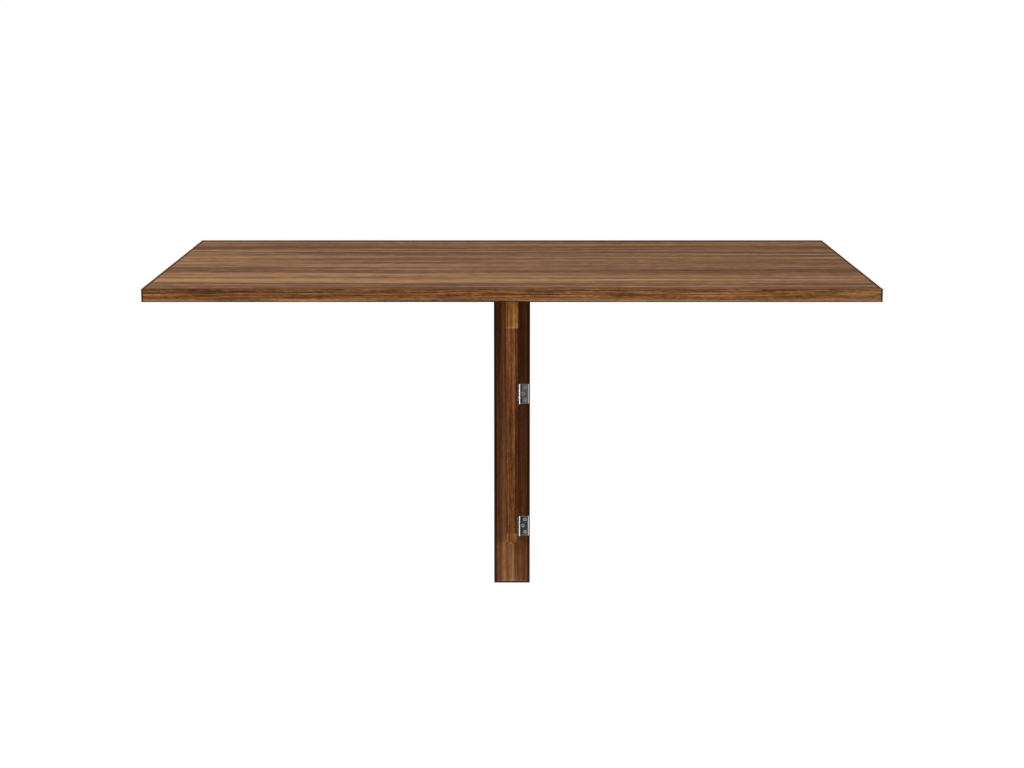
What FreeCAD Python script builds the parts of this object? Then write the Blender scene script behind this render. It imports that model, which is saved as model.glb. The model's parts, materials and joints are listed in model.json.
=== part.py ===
import FreeCAD, Part
import os
import re
import Sketcher

# A wall mounted drop leaf table. X runs along the wall, Y into the wall and Z up. The wall is the plane
# Y = 0, and the origin lies there, midway between the two outer wall fixings of the rail.

# Driving dimensions in millimetres.
SIZES = {
    # Boards
    "table_width": 1000,
    "table_depth": 600,
    "table_height": 565,
    "board_thickness": 18,
    "shelf_depth": 57,
    "leaf_seam": 1.5,
    "rail_inset": 20,
    "rail_height": 70,
    "wall_board_width": 58.5,
    "band_thickness": 2,
    "band_round": 0.8,
    # Swinging bracket
    "bracket_reach": 342,
    "bracket_foot_rise": 77,
    "bracket_tip_height": 74,
    "bracket_foot_height": 17,
    "bracket_foot_width": 42,
    "bracket_top_gap": 0.3,
    "bracket_back_gap": 0.5,
    # Butt hinges between wall and bracket, placed by their middles from the bracket's top and foot
    "swing_hinge_length": 33,
    "swing_plate_reach": 16.6,
    "swing_plate_thickness": 1.2,
    "swing_knuckle_radius": 2.6,
    "swing_pin_radius": 1.2,
    "swing_hole_pitch": 10.3,
    "swing_hole_near": 6,
    "swing_hole_far": 9.4,
    "upper_hinge_inset": 22.7,
    "lower_hinge_inset": 20,
    "middle_hinge_rise": 220,
    # Butt hinges between shelf and leaf
    "leaf_hinge_length": 60,
    "leaf_plate_reach": 26,
    "leaf_plate_thickness": 1.5,
    "leaf_knuckle_radius": 3.2,
    "leaf_pin_radius": 1.6,
    "leaf_hole_pitch": 21,
    "leaf_hole_near": 10,
    "leaf_hole_far": 18,
    "leaf_hinge_inset": 100,
    # Edges and clearances of both kinds of hinge
    "plate_bevel": 0.4,
    "hinge_wood_gap": 0.3,
    "knuckle_gap": 0.3,
    "pin_clearance": 0.05,
    "pin_head_height": 0.7,
    # Countersunk wood screws of the hinges
    "screw_length": 13,
    "screw_shank_radius": 1.5,
    "screw_head_radius": 2.8,
    "screw_head_height": 1.1,
    "screw_tip_length": 3,
    "screw_clearance": 0.05,
    "screw_slot_length": 3,
    "screw_slot_width": 0.9,
    "screw_slot_depth": 0.9,
    "screw_recess_radius": 1,
    # Wooden dowels
    "dowel_length": 30,
    "dowel_radius": 4,
    "dowel_chamfer": 0.8,
    "dowel_in_shelf": 12,
    "dowel_clearance": 0.05,
    "inner_dowel_offset": 160,
    "outer_dowel_inset": 100,
    "wall_board_dowel_offset": 20,
    # Cam fittings that draw the shelf down on the rail
    "cam_radius": 7.5,
    "cam_depth": 14,
    "cam_drop": 34,
    "cam_clearance": 0.1,
    "cam_slot_length": 8,
    "cam_slot_width": 1.6,
    "cam_slot_depth": 1.5,
    "cam_recess_radius": 1.8,
    "inner_cam_offset": 70,
    "outer_cam_inset": 210,
    "bolt_thread_length": 11,
    "bolt_thread_radius": 2.5,
    "bolt_shaft_radius": 3,
    "bolt_neck_radius": 2,
    "bolt_neck_length": 2.5,
    "bolt_head_length": 5,
    # Wall fixings: countersunk holes for the screws that go into the wall
    "fixing_radius": 2.75,
    "fixing_sink_radius": 5.5,
    "fixing_sink_depth": 2.75,
    "inner_fixing_offset": 215,
    "outer_fixing_inset": 30,
    "board_fixing_drop": 85,
    "board_fixing_rise": 35,
}

# Places that follow from the driving dimensions.
PLACES = {
    "shelf_underside": "rail_height / 2",
    "top_surface": "shelf_underside + board_thickness",
    "rail_bottom": "-rail_height / 2",
    "rail_half": "table_width / 2 - rail_inset",
    "wall_board_foot": "top_surface - table_height",
    "board_front": "-board_thickness",
    "board_middle": "-board_thickness / 2",
    "leaf_rear": "-shelf_depth - leaf_seam",
    "bracket_face": "board_thickness / 2",
    "bracket_back": "-board_thickness - bracket_back_gap",
    "bracket_tip": "-bracket_reach",
    "bracket_top": "shelf_underside - bracket_top_gap",
    "bracket_tip_low": "bracket_top - bracket_tip_height",
    "bracket_bottom": "wall_board_foot + bracket_foot_rise",
    "bracket_foot_top": "bracket_bottom + bracket_foot_height",
    "bracket_foot_face": "bracket_back - bracket_foot_width",
    "slope_run": "bracket_foot_face - bracket_tip",
    "slope_fall": "bracket_tip_low - bracket_foot_top",
    "upper_hinge": "bracket_top - upper_hinge_inset",
    "lower_hinge": "bracket_bottom + lower_hinge_inset",
    "middle_hinge": "lower_hinge + middle_hinge_rise",
    "swing_axis_x": "bracket_face + hinge_wood_gap + swing_knuckle_radius",
    "swing_axis_y": "-board_thickness - hinge_wood_gap - swing_knuckle_radius",
    "leaf_axis_y": "-shelf_depth - leaf_seam / 2",
    "leaf_axis_z": "shelf_underside - hinge_wood_gap - leaf_knuckle_radius",
    "leaf_hinge_offset": "table_width / 2 - leaf_hinge_inset",
    "outer_dowel_offset": "rail_half - outer_dowel_inset",
    "outer_cam_offset": "rail_half - outer_cam_inset",
    "cam_height": "shelf_underside - cam_drop",
    "cam_head_foot": "cam_drop + bolt_head_length / 2",
    "outer_fixing_offset": "rail_half - outer_fixing_inset",
    "board_fixing_high": "rail_bottom - board_fixing_drop",
    "board_fixing_low": "bracket_bottom + board_fixing_rise",
}

TOUCHING = 0.001
KNUCKLES = 5
FIXED_KNUCKLES = (0, 2, 4)
MOVING_KNUCKLES = (1, 3)

X = FreeCAD.Vector(1, 0, 0)
Y = FreeCAD.Vector(0, 1, 0)
Z = FreeCAD.Vector(0, 0, 1)

UPRIGHT = FreeCAD.Rotation()
TOWARDS_WALL = FreeCAD.Rotation(Z, Y)
TOWARDS_LEFT = FreeCAD.Rotation(Z, -X)

# The slope's own angle replaces this one.
DOWN_THE_SLOPE = FreeCAD.Rotation(-X, 45)

# A screw's master points down, so these turn its point into the wood.
INTO_WALL_SIDE = FreeCAD.Rotation(Z, -Y)
INTO_BRACKET = FreeCAD.Rotation(Z, X)
INTO_UNDERSIDE = FreeCAD.Rotation(X, 180)

# A hinge plate's master has its pin along Z and its wood on the +Y side, and reaches along +X.
ON_WALL = FreeCAD.Rotation(X, Y, Z, "XYZ")
ON_BRACKET = FreeCAD.Rotation(-Y, -X, -Z, "XYZ")
ON_SHELF = FreeCAD.Rotation(Y, Z, X, "XYZ")
ON_LEAF = FreeCAD.Rotation(-Y, Z, -X, "XYZ")

doc = FreeCAD.newDocument("DropLeafTable")
sheet = doc.addObject("Spreadsheet::Sheet", "Sizes")
pieces = []


def fill_sheet():
    """Write each size and place to a cell of its own, under its name."""
    rows = [(name, str(size)) for name, size in SIZES.items()]
    rows += [(name, "=" + formula) for name, formula in PLACES.items()]
    for number, (name, text) in enumerate(rows, start=1):
        sheet.set(f"A{number}", name)
        sheet.set(f"B{number}", text)
        sheet.setAlias(f"B{number}", name)
    doc.recompute()


def in_sheet(formula):
    """The formula with every name in it pointing at its cell."""
    known = SIZES.keys() | PLACES.keys()
    return re.sub(r"[a-z_]+", lambda m: f"Sizes.{m[0]}" if m[0] in known else m[0], formula)


def measure(formula):
    """The formula's value in millimetres."""
    return float(sheet.evalExpression(formula))


def bind(thing, **formulas):
    """Tie properties to the sheet, with a double underscore for the dot in a property's path."""
    for path, formula in formulas.items():
        thing.setExpression(path.replace("__", "."), in_sheet(formula))


def place(thing, spot, turn=UPRIGHT):
    """Turn a thing and tie its place to the sheet."""
    thing.Placement = FreeCAD.Placement(FreeCAD.Vector(), turn)
    x, y, z = spot
    bind(thing, Placement__Base__x=x, Placement__Base__y=y, Placement__Base__z=z)


def keep(thing, label):
    """Name a finished piece and put it on the list of those that are written."""
    thing.Label = label
    pieces.append(thing)
    return thing


def both_sides(offset):
    """The same distance to the left and to the right of the middle."""
    return (f"-({offset})", offset)


def span(*ends):
    """A formula for the distance between two ends."""
    low, high = ends
    return f"({high}) - ({low})"


# Building blocks


def box(x, y, z):
    """A block between two ends along each axis."""
    block = doc.addObject("Part::Box", "Block")
    bind(block, Length=span(*x), Width=span(*y), Height=span(*z))
    place(block, (x[0], y[0], z[0]))
    return block


def cylinder(radius, length, spot, turn=UPRIGHT):
    """A round bar that starts at a spot and runs along the turned Z axis."""
    bar = doc.addObject("Part::Cylinder", "Round")
    bind(bar, Radius=radius, Height=length)
    place(bar, spot, turn)
    return bar


def cone(start_radius, end_radius, length, spot, turn=UPRIGHT):
    """A tapered bar that starts at a spot and runs along the turned Z axis."""
    taper = doc.addObject("Part::Cone", "Taper")
    bind(taper, Radius1=start_radius, Radius2=end_radius, Height=length)
    place(taper, spot, turn)
    return taper


def cut(base, tools):
    """The base with all tools taken out of it."""
    drilled = doc.addObject("Part::Cut", "Cut")
    drilled.Base = base
    if len(tools) == 1:
        drilled.Tool = tools[0]
        return drilled
    bundle = doc.addObject("Part::Compound", "Tools")
    bundle.Links = tools
    drilled.Tool = bundle
    return drilled


def outline(body, plane, points):
    """A closed outline of straight lines in a body's own plane, each corner tied to the sheet."""
    sketch = body.newObject("Sketcher::SketchObject", "Outline")
    support = next(feature for feature in body.Origin.OriginFeatures if feature.Role == plane)
    sketch.AttachmentSupport = [(support, "")]
    sketch.MapMode = "FlatFace"
    corners = [FreeCAD.Vector(measure(u), measure(v), 0) for u, v in points]
    following = corners[1:] + corners[:1]
    for start, end in zip(corners, following):
        sketch.addGeometry(Part.LineSegment(start, end), False)
    for line in range(len(points)):
        sketch.addConstraint(Sketcher.Constraint("Coincident", line, 2, (line + 1) % len(points), 1))
    for line, (u, v) in enumerate(points):
        tie_corner(sketch, line, u, "DistanceX", -2)
        tie_corner(sketch, line, v, "DistanceY", -1)
    return sketch


def tie_corner(sketch, line, formula, kind, axis):
    """Hold the start of a line at a distance from the sketch's origin, or on its axis where that is 0."""
    if formula == "0":
        sketch.addConstraint(Sketcher.Constraint("PointOnObject", line, 1, axis))
        return
    number = sketch.addConstraint(Sketcher.Constraint(kind, -1, 1, line, 1, measure(formula)))
    sketch.setExpression(f"Constraints[{number}]", in_sheet(formula))


def padded(body, sketch, length):
    """Raise an outline evenly to both sides of its plane."""
    pad = body.newObject("PartDesign::Pad", "Pad")
    pad.Profile = sketch
    pad.SideType = "Symmetric"
    bind(pad, Length=length)
    return pad


def outer_edges(shape, outward):
    """The name and the run of each edge of the face that lies furthest outward."""
    level = max(vertex.Point.dot(outward) for vertex in shape.Vertexes)
    edges = []
    for number, edge in enumerate(shape.Edges, start=1):
        start, end = [vertex.Point for vertex in edge.Vertexes]
        if min(start.dot(outward), end.dot(outward)) > level - TOUCHING:
            edges.append((f"Edge{number}", end - start))
    return edges


def turned(name, points):
    """A turned body about Z, from half its outline."""
    body = doc.addObject("PartDesign::Body", name)
    sketch = outline(body, "XZ_Plane", points)
    revolution = body.newObject("PartDesign::Revolution", "Revolution")
    revolution.Profile = sketch
    revolution.ReferenceAxis = (sketch, ["V_Axis"])
    revolution.Angle = 360
    return body


def feature(body, kind, spot, turn=UPRIGHT, **sizes):
    """A block, bar or cone added to a body or taken out of it."""
    shape = body.newObject(f"PartDesign::{kind}", kind)
    bind(shape, **sizes)
    place(shape, spot, turn)


def cross_recess(body, kind):
    """Two crossing slots with a tapered middle in the face at the body's own origin, below it along Z."""
    long_side = f"{kind}_slot_length"
    short_side = f"{kind}_slot_width"
    depth = f"{kind}_slot_depth"
    middle = {"Radius1": f"{short_side} / 2", "Radius2": f"{kind}_recess_radius", "Height": depth}
    feature(body, "SubtractiveCone", ("0", "0", f"-{depth}"), **middle)
    for length, width in ((long_side, short_side), (short_side, long_side)):
        corner = (f"-{length} / 2", f"-{width} / 2", f"-{depth}")
        feature(body, "SubtractiveBox", corner, Length=length, Width=width, Height=depth)


def group(label, master, places):
    """Copies of one master, each its own solid, as one piece."""
    copies = []
    for spot, turn in places:
        copy = doc.addObject("App::Link", "Copy")
        copy.LinkedObject = master
        copy.LinkTransform = False
        place(copy, spot, turn)
        copies.append(copy)
    bundle = doc.addObject("Part::Compound", "Group")
    bundle.Links = copies
    return keep(bundle, label)


# Edge bands


def rounded_strip(outward, along, **sizes):
    """A thin strip with the two arrises of its outer face rounded that run along it."""
    body = doc.addObject("PartDesign::Body", "Band")
    strip = body.newObject("PartDesign::AdditiveBox", "Strip")
    bind(strip, **sizes)
    doc.recompute()
    arris = body.newObject("PartDesign::Fillet", "Arris")
    edges = outer_edges(strip.Shape, outward)
    arris.Base = (strip, [name for name, run in edges if abs(run.dot(along)) > TOUCHING])
    bind(arris, Radius="band_round")
    return body


def band(label, x, y, z, outward, along):
    """A strip glued to a board's edge, between two ends along each axis."""
    body = rounded_strip(outward, along, Length=span(*x), Width=span(*y), Height=span(*z))
    place(body, (x[0], y[0], z[0]))
    return keep(body, label)


def side_bands(name, half_width, y, z, along):
    """The bands on a board's left and right edges, inside its half width."""
    inner = f"{half_width} - band_thickness"
    band(f"{name}_left_band", (f"-({half_width})", f"-({inner})"), y, z, -X, along)
    band(f"{name}_right_band", (inner, half_width), y, z, X, along)


# Places of the screws, dowels and fittings, which the holes share


def swing_hinges():
    """The name and the height of the middle of each hinge between wall and bracket."""
    return [(name, f"{name}_hinge") for name in ("upper", "middle", "lower")]


def plate_holes(kind):
    """The screw holes of a hinge plate: distance from the pin, and place along the pin."""
    pitch = f"{kind}_hole_pitch"
    return [(f"{kind}_hole_far", pitch), (f"{kind}_hole_far", f"-{pitch}"), (f"{kind}_hole_near", "0")]


def wall_screw_spots():
    """Where the screws of the wall plates enter the rail or the wall board: X and Z."""
    return [
        (f"swing_axis_x + {away}", f"{height} + {along}")
        for name, height in swing_hinges()
        for away, along in plate_holes("swing")
    ]


def bracket_screw_spots():
    """Where the screws of the bracket plates enter the bracket: Y and Z."""
    return [
        (f"swing_axis_y - {away}", f"{height} - ({along})")
        for name, height in swing_hinges()
        for away, along in plate_holes("swing")
    ]


def underside_screw_spots(sign):
    """Where the screws of the leaf hinges enter the shelf or the leaf: X and Y."""
    return [
        (f"{middle} + {along}", f"leaf_axis_y {sign} {away}")
        for middle in both_sides("leaf_hinge_offset")
        for away, along in plate_holes("leaf")
    ]


def shelf_dowel_spots():
    """The X of each dowel between rail and shelf."""
    return both_sides("outer_dowel_offset") + both_sides("inner_dowel_offset")


def cam_spots():
    """The X of each cam fitting between rail and shelf."""
    return both_sides("outer_cam_offset") + both_sides("inner_cam_offset")


# Holes


def pilot_hole(kind, spot, turn):
    """The hole in the wood for one hinge screw, from the wood's surface."""
    depth = f"screw_length - {kind}_plate_thickness + screw_clearance"
    return cylinder("screw_shank_radius + screw_clearance", depth, spot, turn)


def fixing_hole(x, z):
    """A countersunk hole through a board for one screw into the wall."""
    front = (x, "board_front", z)
    return [
        cylinder("fixing_radius", "board_thickness", front, TOWARDS_WALL),
        cone("fixing_sink_radius", "fixing_radius", "fixing_sink_depth", front, TOWARDS_WALL),
    ]


def dowel_hole(x, y, surface, depth, up):
    """The hole for one dowel, drilled up or down from a surface."""
    start = f"{surface}" if up else f"{surface} - ({depth}) - dowel_clearance"
    return cylinder("dowel_radius + dowel_clearance", f"{depth} + dowel_clearance", (x, y, start))


def fused(tools):
    """Tools that meet, as one tool."""
    whole = doc.addObject("Part::MultiFuse", "Tool")
    whole.Shapes = tools
    return whole


def cam_hole(x):
    """The bore for a cam in the rail's front, with the bore for its bolt from the rail's top edge."""
    return fused([
        cylinder("cam_radius + cam_clearance", "cam_depth", (x, "board_front", "cam_height"), TOWARDS_WALL),
        cylinder("bolt_shaft_radius + cam_clearance", "cam_drop", (x, "board_middle", "cam_height")),
    ])


def wall_pilot_holes(low, high):
    """The pilot holes of the wall plates whose hinge lies between two heights."""
    return [
        pilot_hole("swing", (x, "board_front", z), TOWARDS_WALL)
        for x, z in wall_screw_spots()
        if measure(low) < measure(z) < measure(high)
    ]


# Boards


def make_shelf():
    """The fixed strip at the wall that the leaf hangs from."""
    half = "table_width / 2"
    inner = f"{half} - band_thickness"
    heights = ("shelf_underside", "top_surface")
    front = ("-shelf_depth", "-shelf_depth + band_thickness")
    depths = (front[1], "0")
    board = box(both_sides(inner), depths, heights)
    holes = [dowel_hole(x, "board_middle", heights[0], "dowel_in_shelf", True) for x in shelf_dowel_spots()]
    bolt_radius = "bolt_thread_radius + cam_clearance"
    bolt_depth = "bolt_thread_length + cam_clearance"
    for x in cam_spots():
        holes.append(cylinder(bolt_radius, bolt_depth, (x, "board_middle", heights[0])))
    for x, y in underside_screw_spots("+"):
        holes.append(pilot_hole("leaf", (x, y, heights[0]), UPRIGHT))
    keep(cut(board, holes), "fixed_shelf")
    band("shelf_front_band", both_sides(half), front, heights, -Y, X)
    side_bands("shelf", half, depths, heights, Y)


def make_leaf():
    """The hinged part of the table's top."""
    half = "table_width / 2"
    heights = ("shelf_underside", "top_surface")
    front = ("-table_depth", "-table_depth + band_thickness")
    rear = ("leaf_rear - band_thickness", "leaf_rear")
    depths = (front[1], rear[0])
    board = box(both_sides(f"{half} - band_thickness"), depths, heights)
    holes = [pilot_hole("leaf", (x, y, heights[0]), UPRIGHT) for x, y in underside_screw_spots("-")]
    keep(cut(board, holes), "leaf_panel")
    band("leaf_front_band", both_sides(half), front, heights, -Y, X)
    band("leaf_rear_band", both_sides(half), rear, heights, Y, X)
    side_bands("leaf", half, depths, heights, Y)


def make_rail():
    """The rail under the shelf that is screwed to the wall."""
    half = "rail_half"
    depths = ("board_front", "0")
    low_band = ("rail_bottom", "rail_bottom + band_thickness")
    heights = ("rail_bottom", "shelf_underside")
    middle = "wall_board_width / 2"
    board = box(both_sides(f"{half} - band_thickness"), depths, heights)
    wings = [(f"-{half} + band_thickness", f"-{middle}"), (middle, f"{half} - band_thickness")]
    holes = [box(wing, depths, low_band) for wing in wings]
    for offset in ("outer_fixing_offset", "inner_fixing_offset"):
        for x in both_sides(offset):
            holes.append(fused(fixing_hole(x, "0")))
    in_rail = "dowel_length - dowel_in_shelf"
    for x in shelf_dowel_spots():
        holes.append(dowel_hole(x, "board_middle", heights[1], in_rail, False))
    for x in both_sides("wall_board_dowel_offset"):
        holes.append(dowel_hole(x, "board_middle", heights[0], "dowel_length / 2", True))
    holes += [cam_hole(x) for x in cam_spots()]
    holes += wall_pilot_holes(*heights)
    keep(cut(board, holes), "wall_rail")
    side_bands("rail", half, depths, heights, Z)
    for side, wing in zip(("left", "right"), wings):
        band(f"rail_lower_{side}_band", wing, depths, low_band, -Z, X)


def make_wall_board():
    """The narrow upright board on the wall that carries the bracket's hinges."""
    half = "wall_board_width / 2"
    depths = ("board_front", "0")
    foot = ("wall_board_foot", "wall_board_foot + band_thickness")
    heights = (foot[1], "rail_bottom")
    board = box(both_sides(f"{half} - band_thickness"), depths, heights)
    holes = [fused(fixing_hole("0", z)) for z in ("board_fixing_high", "board_fixing_low")]
    for x in both_sides("wall_board_dowel_offset"):
        holes.append(dowel_hole(x, "board_middle", heights[1], "dowel_length / 2", False))
    holes += wall_pilot_holes(*heights)
    keep(cut(board, holes), "wall_board")
    side_bands("wall_board", half, depths, heights, Z)
    band("wall_board_foot_band", both_sides(half), depths, foot, -Z, X)


def make_bracket():
    """The triangular bracket that swings out under the leaf."""
    body = doc.addObject("PartDesign::Body", "BracketBlank")
    corners = [
        ("bracket_back", "bracket_top"),
        ("bracket_tip", "bracket_top"),
        ("bracket_tip", "bracket_tip_low"),
        ("bracket_foot_face", "bracket_foot_top"),
        ("bracket_foot_face", "bracket_bottom"),
        ("bracket_back", "bracket_bottom"),
    ]
    padded(body, outline(body, "YZ_Plane", corners), "board_thickness")
    holes = [pilot_hole("swing", ("bracket_face", y, z), TOWARDS_LEFT) for y, z in bracket_screw_spots()]
    keep(cut(body, bracket_bands() + holes), "bracket_panel")


def bracket_bands():
    """Make the bands along the bracket's six edges, and return their square blanks to cut the panel with."""
    across = both_sides("bracket_face")
    below_top = "bracket_top - band_thickness"
    above_bottom = "bracket_bottom + band_thickness"
    tip = ("bracket_tip", "bracket_tip + band_thickness")
    foot = ("bracket_foot_face", "bracket_foot_face + band_thickness")
    back = ("bracket_back - band_thickness", "bracket_back")
    edges = {
        "tip": (tip, ("bracket_tip_low", below_top), -Y, Z),
        "foot": (foot, (above_bottom, "bracket_foot_top"), -Y, Z),
        "back": (back, (above_bottom, below_top), Y, Z),
        "top": (("bracket_tip", "bracket_back"), (below_top, "bracket_top"), Z, Y),
        "bottom": (("bracket_foot_face", "bracket_back"), ("bracket_bottom", above_bottom), -Z, Y),
    }
    for edge, (y, z, outward, along) in edges.items():
        band(f"bracket_{edge}_band", across, y, z, outward, along)
    blanks = [box(across, y, z) for y, z, outward, along in edges.values()]
    return blanks + [slope_band(blanks[0])]


def slope_band(tip_blank):
    """Make the band along the bracket's slanted edge, cut off at the tip, and return its square blank."""
    sizes = {
        "Length": "board_thickness",
        "Width": "sqrt(slope_run ^ 2 + slope_fall ^ 2)",
        "Height": "band_thickness",
    }
    blank = doc.addObject("Part::Box", "Blank")
    bind(blank, **sizes)
    strip = rounded_strip(-Z, Y, **sizes)
    for thing in (blank, strip):
        place(thing, ("-bracket_face", "bracket_tip", "bracket_tip_low"), DOWN_THE_SLOPE)
        bind(thing, Placement__Rotation__Angle="atan(slope_fall / slope_run)")
    keep(cut(strip, [tip_blank]), "bracket_slope_band")
    return blank


# Hinges


def hinge_plate(label, kind, own_knuckles, spot, turn):
    """One plate of a butt hinge with its rolled knuckles and countersunk holes."""
    length = f"{kind}_hinge_length"
    radius = f"{kind}_knuckle_radius"
    thickness = f"{kind}_plate_thickness"
    reach = f"{kind}_plate_reach"
    clear = f"{radius} + hinge_wood_gap"
    front = f"{clear} - {thickness}"
    body = doc.addObject("PartDesign::Body", "Plate")
    flat = [("0", radius), (thickness, clear), (reach, clear), (reach, front), ("0", front)]
    pad = padded(body, outline(body, "XY_Plane", flat), length)
    doc.recompute()
    bevel = body.newObject("PartDesign::Chamfer", "Bevel")
    bevel.Base = (pad, [name for name, run in outer_edges(pad.Shape, -Y)])
    bind(bevel, Size="plate_bevel")
    low_end = ("0", "0", f"-{length} / 2")
    bore = f"{kind}_pin_radius + pin_clearance"
    feature(body, "AdditiveCylinder", low_end, Radius=radius, Height=length)
    feature(body, "SubtractiveCylinder", low_end, Radius=bore, Height=length)
    gap_length = f"{length} / {KNUCKLES} + knuckle_gap"
    for knuckle in range(KNUCKLES):
        if knuckle not in own_knuckles:
            start = f"-{length} / 2 + {knuckle} * {length} / {KNUCKLES} - knuckle_gap / 2"
            corner = (f"-({clear})", f"-({clear})", start)
            across = f"2 * ({clear})"
            feature(body, "SubtractiveBox", corner, Length=across, Width=across, Height=gap_length)
    for away, along in plate_holes(kind):
        countersunk_hole(body, (away, front, along), thickness)
    place(body, spot, turn)
    return keep(body, label)


def countersunk_hole(body, spot, thickness):
    """A hole through a hinge plate that takes the screw's head flush."""
    wide = "screw_head_radius + screw_clearance"
    narrow = "screw_shank_radius + screw_clearance"
    depth = "screw_head_height"
    feature(body, "SubtractiveCylinder", spot, TOWARDS_WALL, Radius=narrow, Height=thickness)
    feature(body, "SubtractiveCone", spot, TOWARDS_WALL, Radius1=wide, Radius2=narrow, Height=depth)


def hinge_pin(label, kind, spot, turn):
    """The pin of a butt hinge, peened over at both ends."""
    radius = f"{kind}_pin_radius"
    end = f"{kind}_hinge_length / 2"
    rim = f"{radius} + pin_head_height"
    tip = f"{end} + pin_head_height"
    points = [("0", tip), (radius, tip), (rim, end), (radius, end)]
    points += [(u, f"-({v})") for u, v in reversed(points)]
    body = turned("Pin", points)
    place(body, spot, turn)
    return keep(body, label)


def make_hinges():
    """Every butt hinge: three between wall and bracket, two between shelf and leaf."""
    for name, height in swing_hinges():
        spot = ("swing_axis_x", "swing_axis_y", height)
        hinge_plate(f"{name}_hinge_wall_plate", "swing", FIXED_KNUCKLES, spot, ON_WALL)
        hinge_plate(f"{name}_hinge_bracket_plate", "swing", MOVING_KNUCKLES, spot, ON_BRACKET)
        hinge_pin(f"{name}_hinge_pin", "swing", spot, ON_WALL)
    for side, x in zip(("left", "right"), both_sides("leaf_hinge_offset")):
        spot = (x, "leaf_axis_y", "leaf_axis_z")
        hinge_plate(f"{side}_leaf_hinge_shelf_plate", "leaf", FIXED_KNUCKLES, spot, ON_SHELF)
        hinge_plate(f"{side}_leaf_hinge_leaf_plate", "leaf", MOVING_KNUCKLES, spot, ON_LEAF)
        hinge_pin(f"{side}_leaf_hinge_pin", "leaf", spot, ON_SHELF)


# Fasteners and fittings


def screw_master():
    """A countersunk wood screw with its head's face at the origin and its point down."""
    shank = "screw_shank_radius"
    body = turned("Screw", [
        ("0", "0"),
        ("screw_head_radius", "0"),
        (shank, "-screw_head_height"),
        (shank, "-screw_length + screw_tip_length"),
        ("0", "-screw_length"),
    ])
    cross_recess(body, "screw")
    return body


def make_screws():
    """The hinge screws, in one group for each board or pair of boards that they enter."""
    master = screw_master()
    wall_face = "board_front - swing_plate_thickness"
    wall = [((x, wall_face, z), INTO_WALL_SIDE) for x, z in wall_screw_spots()]
    group("wall_plate_screws", master, wall)
    bracket_plate_face = "bracket_face + swing_plate_thickness"
    bracket = [((bracket_plate_face, y, z), INTO_BRACKET) for y, z in bracket_screw_spots()]
    group("bracket_plate_screws", master, bracket)
    plate_face = "shelf_underside - leaf_plate_thickness"
    for board, sign in (("shelf", "+"), ("leaf", "-")):
        places = [((x, y, plate_face), INTO_UNDERSIDE) for x, y in underside_screw_spots(sign)]
        group(f"{board}_plate_screws", master, places)


def make_dowels():
    """The chamfered dowels that line up shelf, rail and wall board."""
    slim = "dowel_radius - dowel_chamfer"
    master = turned("Dowel", [
        ("0", "0"),
        (slim, "0"),
        ("dowel_radius", "dowel_chamfer"),
        ("dowel_radius", "dowel_length - dowel_chamfer"),
        (slim, "dowel_length"),
        ("0", "dowel_length"),
    ])
    shelf_foot = "shelf_underside + dowel_in_shelf - dowel_length"
    group("shelf_dowels", master, [((x, "board_middle", shelf_foot), UPRIGHT) for x in shelf_dowel_spots()])
    board_foot = "rail_bottom - dowel_length / 2"
    offsets = both_sides("wall_board_dowel_offset")
    group("wall_board_dowels", master, [((x, "board_middle", board_foot), UPRIGHT) for x in offsets])


def make_cams():
    """The cam housings in the rail and the bolts that they draw down from the shelf."""
    shaft = "bolt_shaft_radius"
    neck = "bolt_neck_radius"
    head_top = "-cam_head_foot + bolt_head_length"
    bolt = turned("CamBolt", [
        ("0", "bolt_thread_length"),
        ("bolt_thread_radius", "bolt_thread_length"),
        ("bolt_thread_radius", "0"),
        (shaft, "0"),
        (shaft, f"{head_top} + bolt_neck_length"),
        (neck, f"{head_top} + bolt_neck_length"),
        (neck, head_top),
        (shaft, head_top),
        (shaft, "-cam_head_foot"),
        ("0", "-cam_head_foot"),
    ])
    group("cam_bolts", bolt, [((x, "board_middle", "shelf_underside"), UPRIGHT) for x in cam_spots()])
    housing = doc.addObject("PartDesign::Body", "Cam")
    feature(housing, "AdditiveCylinder", ("0", "0", "-cam_depth"), Radius="cam_radius", Height="cam_depth")
    slot_foot = ("0", "-bolt_head_length / 2 - cam_clearance", "board_middle")
    bore = f"{shaft} + cam_clearance"
    feature(housing, "SubtractiveCylinder", slot_foot, TOWARDS_WALL, Radius=bore, Height="2 * cam_radius")
    cross_recess(housing, "cam")
    places = [((x, "board_front", "cam_height"), INTO_WALL_SIDE) for x in cam_spots()]
    group("cam_housings", housing, places)


def check_pieces():
    """Stop where anything in the document failed or a piece has no sound shape."""
    failed = [thing.Label for thing in doc.Objects if {"Invalid", "Error"} & set(thing.State)]
    unsound = [piece.Label for piece in pieces if piece.Shape.isNull() or not piece.Shape.isValid()]
    if failed or unsound:
        raise RuntimeError(f"failed: {failed}, unsound: {unsound}")


def write_pieces():
    """Write each piece to a file of its own name."""
    os.makedirs("parts", exist_ok=True)
    for piece in pieces:
        piece.Shape.exportStep(f"parts/{piece.Label}.step")


fill_sheet()
make_shelf()
make_leaf()
make_rail()
make_wall_board()
make_bracket()
make_hinges()
make_screws()
make_dowels()
make_cams()
doc.recompute()
check_pieces()
write_pieces()
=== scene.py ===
import json
import math

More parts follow.
